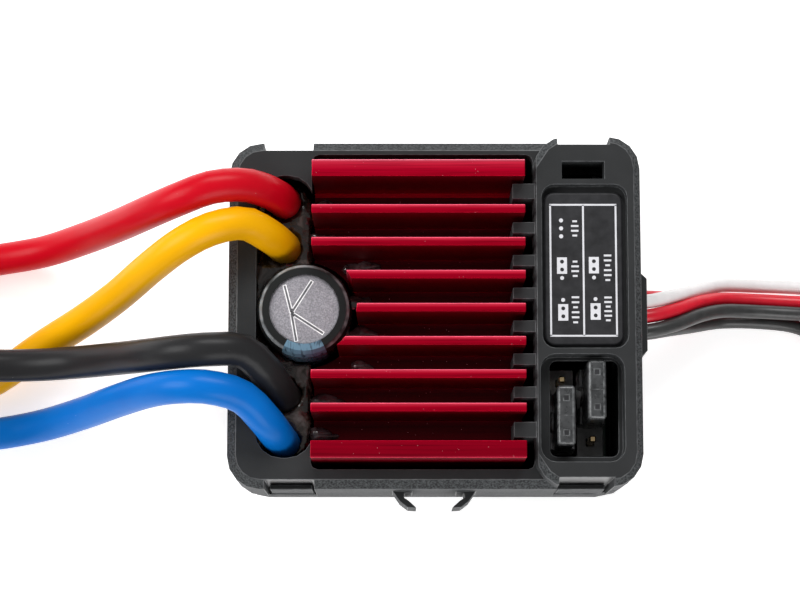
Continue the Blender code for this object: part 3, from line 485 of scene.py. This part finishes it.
def plain_paint(name, colour, roughness, metallic=0.0, per_mm=1.2, spread=0.25, **inputs):
    """A colour that varies a little, with slight unevenness in gloss and surface."""
    paint = Paint(name, colour, roughness, metallic, **inputs)
    cloud = paint.noise(per_mm, 4.0)
    low = tuple(value * (1 - spread) for value in colour)
    high = tuple(min(1.0, value * (1 + spread)) for value in colour)
    paint.colour(paint.ramp(cloud, (0.3, low), (0.7, high)))
    paint.rough(cloud, max(0.02, roughness - 0.06), roughness + 0.06)
    paint.bump(paint.noise(per_mm * 5, 3.0), 0.005, 0.6)
    return paint.material


PAINTS = {
    "case": case_paint(),
    "case_edge_highlight": case_edge_highlight_paint(),
    "notch": plain_paint("notch_shade", (0.008, 0.008, 0.009), 0.3, Specular_IOR_Level=0.3),
    "red_metal": red_metal_paint(),
    "wire_red": silicone_paint("silicone_red", (0.56, 0.002, 0.012), (0.47, 0.001, 0.009)),
    "wire_yellow": silicone_paint("silicone_yellow", (0.86, 0.43, 0.001), (0.8, 0.37, 0.001)),
    "wire_black": silicone_paint("silicone_black", (0.024, 0.024, 0.025), (0.016, 0.016, 0.017)),
    "wire_blue": silicone_paint("silicone_blue", (0.001, 0.16, 0.56), (0.001, 0.12, 0.47)),
    "lead_white": plain_paint("vinyl_white", (0.82, 0.8, 0.8), 0.4, spread=0.04),
    "lead_red": plain_paint("vinyl_red", (0.66, 0.004, 0.022), 0.34, spread=0.08),
    "lead_black": plain_paint("vinyl_black", (0.03, 0.031, 0.031), 0.36),
    "label": plain_paint("label_film", (0.021, 0.021, 0.023), 0.42, Specular_IOR_Level=0.25),
    "print": plain_paint("white_print", (0.62, 0.62, 0.65), 0.5, spread=0.05),
    "can": can_paint(),
    # Capacitor vent lines: dark painted shade in the groove, bright painted highlight on its lips.
    "score": plain_paint("pressed_score_shade", (0.1, 0.1, 0.11), 0.4),
    "score_lip_highlight": plain_paint("score_lip_highlight", (0.85, 0.84, 0.88), 0.35),
    "sleeve": sleeve_paint(),
    "seal": plain_paint("bung_rubber", (0.02, 0.02, 0.02), 0.8),
    "potting": resin_paint(),
    # The smears are painted lighter than the poured resin as a painted sheen for their glints; the coat adds
    # real gloss.
    "smear": plain_paint("resin_smear_sheen", (0.1, 0.066, 0.07), 0.12, spread=0.8, Coat_Weight=0.6),
    "jumper": jumper_paint(),
    # Jumper cap bevels and marks: lighter, uneven painted highlights.
    "jumper_edge_highlight": plain_paint("smoked_edge_highlight", (0.085, 0.088, 0.09), 0.3, per_mm=2.5, spread=0.85),
    # Near black: the label's printed pin dots, and painted shade in the jumper caps' windows.
    "jumper_dark": plain_paint("smoked_window", (0.02, 0.02, 0.022), 0.3),
    "gold": plain_paint("gold_plate", (0.85, 0.62, 0.34), 0.25, 1.0),
    "brass": plain_paint("brass", (0.72, 0.5, 0.24), 0.3, 1.0),
    "board": plain_paint("board_lacquer", (0.008, 0.05, 0.03), 0.35),
    "chip": plain_paint("chip_epoxy", (0.03, 0.03, 0.032), 0.55),
    "pad": plain_paint("pad", (0.4, 0.41, 0.43), 0.8),
    "ferrite": plain_paint("ferrite", (0.05, 0.05, 0.052), 0.65),
    "led": plain_paint("led_lens", (0.5, 0.06, 0.04), 0.15),
    "plug": plain_paint("plug_nylon", (0.5, 0.012, 0.014), 0.4),
    "plug_black": plain_paint("plug_black", (0.03, 0.03, 0.031), 0.45),
    # Header bases painted pale grey: painted light that lifts them out of the jumper pockets' shade.
    "header": plain_paint("header_nylon_painted_light", (0.34, 0.34, 0.345), 0.4),
    "tie": plain_paint("tie_nylon", (0.025, 0.025, 0.025), 0.35),
}


# Shapes

WELD = 2e-6
FLAT_ANGLE = 1.0
ROUNDED_ANGLE = 30.0


def add_object(name, data, paint, body=MAIN_BODY):
    made = bpy.data.objects.new(name, data)
    bpy.context.scene.collection.objects.link(made)
    if paint and not data.materials:
        data.materials.append(PAINTS[paint])
    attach(made, body)
    return made


def refine(node, width, paint, edge, body):
    """A copy of a model node with its edges slightly rounded, which stands for the node."""
    mesh = frame["nodes"][node].data.copy()
    solid = bmesh.new()
    solid.from_mesh(mesh)
    bmesh.ops.remove_doubles(solid, verts=solid.verts, dist=WELD)
    flat = math.radians(FLAT_ANGLE)
    bmesh.ops.dissolve_limit(solid, angle_limit=flat, verts=solid.verts, edges=solid.edges)
    for face in solid.faces:
        face.smooth = True
        face.material_index = 0
    solid.to_mesh(mesh)
    solid.free()
    mesh.materials.clear()
    mesh.materials.append(PAINTS[paint])
    if edge:
        mesh.materials.append(PAINTS[edge])
    made = add_object(node + "_shown", mesh, None, body)
    rounding = made.modifiers.new("rounding", "BEVEL")
    rounding.width = width * MM
    rounding.segments = 2
    rounding.limit_method = "ANGLE"
    rounding.angle_limit = math.radians(ROUNDED_ANGLE)
    rounding.use_clamp_overlap = False
    rounding.harden_normals = False
    if edge:
        rounding.material = 1
    made.modifiers.new("normals", "WEIGHTED_NORMAL").keep_sharp = True
    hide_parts(node)
    return made


def smooth_line(places, spacing):
    """Evenly spaced points on a Catmull-Rom curve through the given places."""
    knots = [Vector(place) for place in places]
    knots = [2 * knots[0] - knots[1], *knots, 2 * knots[-1] - knots[-2]]
    fine = []
    for a, b, c, d in zip(knots, knots[1:], knots[2:], knots[3:]):
        for step in range(CURVE_STEP):
            t = step / CURVE_STEP
            fine.append(0.5 * (2 * b + (c - a) * t + (2 * a - 5 * b + 4 * c - d) * t ** 2
                               + (3 * b - a - 3 * c + d) * t ** 3))
    fine.append(knots[-2])
    lengths = [0.0]
    for here, there in zip(fine, fine[1:]):
        lengths.append(lengths[-1] + (there - here).length)
    count = max(6, math.ceil(lengths[-1] / spacing))
    line, at = [], 0
    for index in range(count + 1):
        wanted = lengths[-1] * index / count
        while at < len(fine) - 2 and lengths[at + 1] < wanted:
            at += 1
        share = (wanted - lengths[at]) / (lengths[at + 1] - lengths[at])
        line.append(fine[at].lerp(fine[at + 1], share))
    return line, lengths[-1]


def cord_curve(name, line, diameter, paint):
    data = bpy.data.curves.new(name, "CURVE")
    data.dimensions = "3D"
    spline = data.splines.new("POLY")
    spline.points.add(len(line) - 1)
    for point, place in zip(spline.points, line):
        point.co = (*(place * MM), 1.0)
    spline.use_smooth = True
    data.bevel_depth = diameter / 2 * MM
    data.bevel_resolution = 6
    data.use_fill_caps = True
    made = add_object(name, data, paint)
    return made


# Cords


def fold(x, y, radius, start, turn, steps=9):
    """Places on a half circle, without its first one."""
    angles = [math.radians(start + turn * step / steps) for step in range(1, steps + 1)]
    return [(x + radius * math.cos(angle), y + radius * math.sin(angle)) for angle in angles]


def lap(folds, y, radius, side, heading, skip_first_run=False):
    """Places once round a hank: side is where it starts, +1 back or -1 front; heading is +1 along +X."""
    first, second = (folds[1], folds[0]) if heading > 0 else folds
    half = heading * side * -180
    there = [(first + (second - first) * share, y + side * radius) for share in (0.5, 0.3, 0.12)]
    back = [(first + (second - first) * share, y - side * radius) for share in (0.12, 0.35, 0.65, 0.88)]
    if skip_first_run:
        there = []
    return [
        *there, (first, y + side * radius), *fold(first, y, radius, side * 90, half),
        *back, (second, y - side * radius), *fold(second, y, radius, side * -90, half),
    ]


def climbing(places, low, climb, start, end):
    """Gives each place its height, which rises between the two shares of the way."""
    raised = []
    for index, place in enumerate(places):
        share = min(1.0, max(0.0, (index / (len(places) - 1) - start) / (end - start)))
        raised.append((*place, low + climb * share * share * (3 - 2 * share)))
    return raised


def power_wires():
    wires = {}
    for colour, start in POWER_STARTS.items():
        around = lap(POWER_FOLDS, POWER_HANK_Y, POWER_LANES[colour], 1, -1, True)
        around = climbing(around, POWER_FIRST_Z[colour], POWER_CLIMB, *POWER_CLIMB_SHARES)
        line, length = smooth_line([*start, *around, *POWER_ENDS[colour]], POWER_SPACING)
        wire = cord_curve(f"{colour}_power_wire", line, POWER_DIAMETER, f"wire_{colour}")
        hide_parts(f"power_wire_{colour}", f"power_tail_{colour}", "power_wire_hank")
        wires[colour] = (wire, length)
    return wires


def receiver_route(colour):
    y, radius, low = RECEIVER_HANK_Y, RECEIVER_LANES[colour], RECEIVER_FIRST_Z[colour]
    places = [*RECEIVER_STARTS[colour]]
    for turn in range(LEAD_TURNS):
        around = lap(RECEIVER_FOLDS, y, radius, -1, 1)
        places += climbing(around, low + turn * RECEIVER_CLIMB, RECEIVER_CLIMB, *LEAD_CLIMB_SHARES)
    end = RECEIVER_SOCKETS[colour]
    lane, top = y - radius, low + LEAD_TURNS * RECEIVER_CLIMB
    places += [(45.0, lane, top), (50.0, lane, top), (55.0, lane, top)]
    for x, across, up in RECEIVER_TAIL[colour]:
        places.append((x, lane + (end - lane) * across, LEAD_REST_Z + (top - LEAD_REST_Z) * up))
    return places


def switch_route(colour):
    y, radius, low = SWITCH_HANK_Y, SWITCH_LANES[colour], SWITCH_FIRST_Z[colour]
    places = [*SWITCH_STARTS[colour]]
    for turn in range(LEAD_TURNS):
        around = lap(SWITCH_FOLDS, y, radius, 1, 1)
        places += climbing(around, low + turn * SWITCH_CLIMB, SWITCH_CLIMB, *LEAD_CLIMB_SHARES)
    end, lane, top = SWITCH_TABS[colour], y + radius, low + LEAD_TURNS * SWITCH_CLIMB
    places += [(45.0, lane, top), (50.0, lane, top), (54.5, lane, top)]
    places += [(58.0, lane * 0.6 + end * 0.4, top), (61.0, end + 0.25, top)]
    places += [(62.8, end, TAB_Z), (64.4, end, TAB_Z)]
    return places


def lead_wires():
    wires = {}
    routes = {"receiver": (RECEIVER_STARTS, receiver_route), "switch": (SWITCH_STARTS, switch_route)}
    for lead, (starts, route) in routes.items():
        for colour in starts:
            line, length = smooth_line(route(colour), LEAD_SPACING)
            jacket = f"lead_{colour}"
            wire = cord_curve(f"{lead}_lead_{colour}", line, LEAD_DIAMETER, jacket)
            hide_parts(f"{lead}_wire_{colour}", f"{lead}_lead_hank")
            wires[f"{lead}_{colour}"] = (wire, length)
    return wires


# Model nodes shown with rounded edges: node, rounding, paint, paint of the edges

REFINED = (
    ("base_tray", 0.1, "case", "case_edge_highlight"),
    ("top_cover", 0.05, "case", "case_edge_highlight"),
    ("label_plate", 0.05, "label", None),
    ("heat_sink", 0.06, "red_metal", None),
    ("main_board", 0.05, "board", None),
    ("bec_inductor", 0.15, "ferrite", None),
    ("mode_jumper_cap", 0.1, "jumper", "jumper_edge_highlight"),
    ("battery_jumper_cap", 0.1, "jumper", "jumper_edge_highlight"),
    ("mode_header_base", 0.08, "header", None),
    ("battery_header_base", 0.08, "header", None),
    ("battery_plug_housing", 0.3, "plug", None),
    ("receiver_plug", 0.12, "plug_black", None),
    ("switch_body", 0.2, "plug_black", None),
    ("switch_plate", 0.12, "plug_black", None),
    ("switch_knob", 0.15, "plug_black", None),
    ("power_hank_tie", 0.08, "tie", None),
    ("receiver_hank_tie", 0.08, "tie", None),
    ("switch_hank_tie", 0.08, "tie", None),
)

# Model nodes shown as they are
REPAINTED = {
    "thermal_pad": "pad", "controller_chip": "chip", "regulator_chip": "chip",
    "mosfet_1": "chip", "mosfet_2": "chip", "mosfet_3": "chip", "mosfet_4": "chip",
    "status_led": "led", "capacitor_can": "can", "capacitor_sleeve": "sleeve", "capacitor_seal": "seal",
    "mode_jumper_clip": "brass", "battery_jumper_clip": "brass",
    "battery_plug_blade_positive": "gold", "battery_plug_blade_negative": "gold",
    "motor_bullet_yellow": "gold", "motor_bullet_sleeve_yellow": "wire_yellow",
    "motor_bullet_blue": "gold", "motor_bullet_sleeve_blue": "wire_blue",
    "mode_header_pin_1": "gold", "mode_header_pin_2": "gold", "mode_header_pin_3": "gold",
    "battery_header_pin_1": "gold", "battery_header_pin_2": "gold", "battery_header_pin_3": "gold",
}


def body_of(node):
    for body, nodes in frame["record"]["behaviour"]["bodies"].items():
        if node in nodes:
            return body
    return MAIN_BODY


def show_nodes():
    shown = {}
    for node, width, paint, edge in REFINED:
        shown[node] = refine(node, width, paint, edge, body_of(node))
    for node, paint in REPAINTED.items():
        obj = frame["nodes"][node]
        obj.data.materials.clear()
        obj.data.materials.append(PAINTS[paint])
        shown[node] = obj
    shade_notches(shown["top_cover"].data)
    return shown


def shade_notches(mesh):
    """Gives the back wall of each latch notch in the cover a darker paint."""
    mesh.materials.append(PAINTS["notch"])
    low, high = NOTCH_X
    for face in mesh.polygons:
        x, y = abs(face.center.x) / MM, abs(face.center.y) / MM
        on_wall = abs(y - NOTCH_WALL_Y) < NOTCH_WALL_WITHIN and abs(face.normal.y) > 0.9
        if on_wall and low < x < high:
            face.material_index = len(mesh.materials) - 1


# Small detail


class Flat:
    """Thin pieces of one paint, gathered in one mesh that lies on a surface."""

    def __init__(self, name, top, thickness=0.02):
        self.name = name
        self.top = top
        self.thickness = thickness
        self.solid = bmesh.new()

    def place(self, made, size, at, angle=0.0):
        turn = Matrix.Rotation(math.radians(angle), 4, "Z")
        where = Matrix.Translation(Vector((*at, self.top)) * MM)
        shape = Matrix.Diagonal((size[0] * MM, size[1] * MM, self.thickness * MM, 1.0))
        bmesh.ops.transform(self.solid, matrix=where @ turn @ shape, verts=made["verts"])

    def bar(self, size, at, angle=0.0):
        self.place(bmesh.ops.create_cube(self.solid, size=1.0), size, at, angle)

    def dot(self, radius, at):
        made = bmesh.ops.create_cone(
            self.solid, cap_ends=True, segments=20, radius1=1.0, radius2=1.0, depth=1.0,
        )
        self.place(made, (radius, radius), at)

    def finish(self, paint, body=MAIN_BODY):
        mesh = bpy.data.meshes.new(self.name)
        self.solid.to_mesh(mesh)
        self.solid.free()
        add_object(self.name, mesh, paint, body)


def label_print():
    """A frame in two columns, pin positions, jumper symbols and short bars in place of words."""
    white = Flat("label_print", LABEL_TOP)
    black = Flat("label_print_holes", LABEL_TOP + HIGH_LAYER)
    left, right, front, back = FRAME_SIZE
    middle = ((left + right) / 2, (front + back) / 2)
    for x in (left, FRAME_DIVIDER, right):
        white.bar((FRAME_LINE, back - front), (x, middle[1]))
    for y in (front, back):
        white.bar((right - left + FRAME_LINE, FRAME_LINE), (middle[0], y))
    for at in PRINT_DOTS:
        white.dot(LABEL_DOT, at)
    for x, y, side in PRINT_ICONS:
        white.bar(ICON_SIZE, (x, y))
        white.dot(PIN_DOT, (x, y + side * FREE_PIN_OFFSET))
        for step in (-1, 1):
            black.dot(PIN_DOT, (x, y + step * CAPPED_PIN_OFFSET))
    for x, low, high in PRINT_MARKS:
        count = round((high - low) / BAR_SPACING)
        for index in range(count):
            width = LONG_BAR if index % 3 else SHORT_BAR
            white.bar((width, BAR_THICKNESS), (x, low + (index + 0.5) * (high - low) / count))
    white.finish("print")
    black.finish("jumper_dark")


def can_score():
    """The pressed vent lines on the capacitor's end: each a groove of painted shade between lips of painted
    highlight.
    """
    lip_highlights = Flat("can_score_lip_highlights", CAN_TOP + LOW_LAYER)
    groove_shade = Flat("can_score_groove_shade", CAN_TOP + HIGH_LAYER)
    for angle, length in SCORE_ARMS:
        way = Vector((math.cos(math.radians(angle)), math.sin(math.radians(angle))))
        at = Vector(SCORE_CENTRE) + way * length / 2
        lip_highlights.bar((length, SCORE_LIP_WIDTH), at, angle)
        groove_shade.bar((length - SCORE_GROOVE_SHORTER, SCORE_GROOVE_WIDTH), at, angle)
    lip_highlights.finish("score_lip_highlight")
    groove_shade.finish("score")


def jumper_marks():
    """The split line and the two test windows on each jumper cap's top, which ride on it: the line and window
    rims painted lighter as painted highlights, the windows dark as painted shade.
    """
    for name, (x, y) in JUMPERS.items():
        rim_highlights = Flat(name + "_rim_highlights", JUMPER_TOP + LOW_LAYER)
        window_shade = Flat(name + "_windows", JUMPER_TOP + TOP_LAYER)
        rim_highlights.bar(SPLIT_LINE, (x, y))
        for side in (-1, 1):
            rim_highlights.bar(WINDOW_RIM, (x, y + side * WINDOW_OFFSET))
            window_shade.bar(WINDOW_HOLE, (x, y + side * WINDOW_OFFSET))
        rim_highlights.finish("jumper_edge_highlight", name)
        window_shade.finish("jumper_dark", name)


def poured(node, paint, cell, depth):
    """A copy of a node whose surface is uneven, as poured resin sets."""
    mesh = frame["nodes"][node].data.copy()
    mesh.materials.clear()
    mesh.materials.append(PAINTS[paint])
    made = add_object(node + "_shown", mesh, None)
    cells = made.modifiers.new("cells", "REMESH")
    cells.mode = "VOXEL"
    cells.voxel_size = cell * MM
    cells.use_smooth_shade = True
    clouds = bpy.data.textures.new(node + "_clouds", "CLOUDS")
    clouds.noise_scale = RESIN_WAVE_SIZE * MM
    waves = made.modifiers.new("waves", "DISPLACE")
    waves.texture = clouds
    waves.strength = depth * MM
    waves.mid_level = 0.45
    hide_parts(node)


def resin_smears():
    """Tongues of resin that ran into the left ends of the channels between the fins."""
    rng = random.Random(SMEAR_SEED)
    noise.seed_set(SMEAR_SEED)
    solid = bmesh.new()
    for index in range(-4, 4):
        y = FIN_PITCH * (index + 0.5)
        near_can = abs(y - CAP_CENTRE[1]) < SINK_CUTOUT_RADIUS
        x = SMEAR_X_NEAR_CAN if near_can else SMEAR_X
        for _ in range(SMEARS_PER_CHANNEL):
            made = bmesh.ops.create_uvsphere(solid, u_segments=18, v_segments=10, radius=1.0)
            size = Vector((rng.uniform(0.7, 1.6), rng.uniform(0.35, 0.8), 0.35)) * MM
            at = Vector((x + rng.uniform(-0.5, 0.9), y + rng.uniform(-0.5, 0.5), CHANNEL_FLOOR)) * MM
            matrix = Matrix.Translation(at) @ Matrix.Diagonal((*size, 1.0))
            bmesh.ops.transform(solid, matrix=matrix, verts=made["verts"])
    for vert in solid.verts:
        vert.co += noise.noise_vector(vert.co / MM * 0.9) * 0.25 * MM
    for face in solid.faces:
        face.smooth = True
    mesh = bpy.data.meshes.new("resin_smears")
    solid.to_mesh(mesh)
    solid.free()
    add_object("resin_smears", mesh, "smear")


# Stage


def area_light(name, place, aim, size, power, size_y=None):
    light = bpy.data.lights.new(name, "AREA")
    light.energy = power
    light.shape = "RECTANGLE"
    light.size = size * MM
    light.size_y = (size_y or size) * MM
    made = bpy.data.objects.new(name, light)
    bpy.context.scene.collection.objects.link(made)
    made.location = Vector(place) * MM
    made.rotation_euler = (Vector(aim) - Vector(place)).to_track_quat("-Z", "Y").to_euler()


def stage():
    floor_mesh = bpy.data.meshes.new("floor")
    solid = bmesh.new()
    bmesh.ops.create_grid(solid, x_segments=1, y_segments=1, size=FLOOR_HALF)
    solid.to_mesh(floor_mesh)
    solid.free()
    floor = bpy.data.objects.new("floor", floor_mesh)
    bpy.context.scene.collection.objects.link(floor)
    paint = Paint("floor", (0.9, 0.9, 0.9), 0.7)
    paint.shader.inputs["Emission Color"].default_value = (1.0, 1.0, 1.0, 1.0)
    paint.shader.inputs["Emission Strength"].default_value = 0.6
    floor_mesh.materials.append(paint.material)

    world = bpy.data.worlds.new("studio")
    bpy.context.scene.world = world
    world.use_nodes = True
    background = world.node_tree.nodes["Background"]
    background.inputs["Color"].default_value = (1.0, 1.0, 1.0, 1.0)
    background.inputs["Strength"].default_value = 0.3

    area_light("back_softbox", (30, 420, 420), LIGHT_AIM, 420, 2.5, 200)
    area_light("left_softbox", (-420, 60, 330), LIGHT_AIM, 300, 1.8)
    area_light("front_fill", (120, -420, 260), LIGHT_AIM, 300, 1.2)

    bpy.context.scene.view_settings.view_transform = "Standard"


def camera():
    data = bpy.data.cameras.new("camera")
    data.lens = CAMERA_LENS
    data.sensor_width = 36.0
    data.clip_start = 0.01
    data.clip_end = 20.0
    made = bpy.data.objects.new("camera", data)
    bpy.context.scene.collection.objects.link(made)
    made.location = CAMERA_AT * MM
    made.rotation_euler = (CAMERA_AIM - CAMERA_AT).to_track_quat("-Z", "Y").to_euler()
    bpy.context.scene.camera = made


camera()
stage()
shown = show_nodes()
poured("wire_potting", "potting", cell=0.35, depth=0.9)
resin_smears()
label_print()
can_score()
jumper_marks()
power = power_wires()
leads = lead_wires()
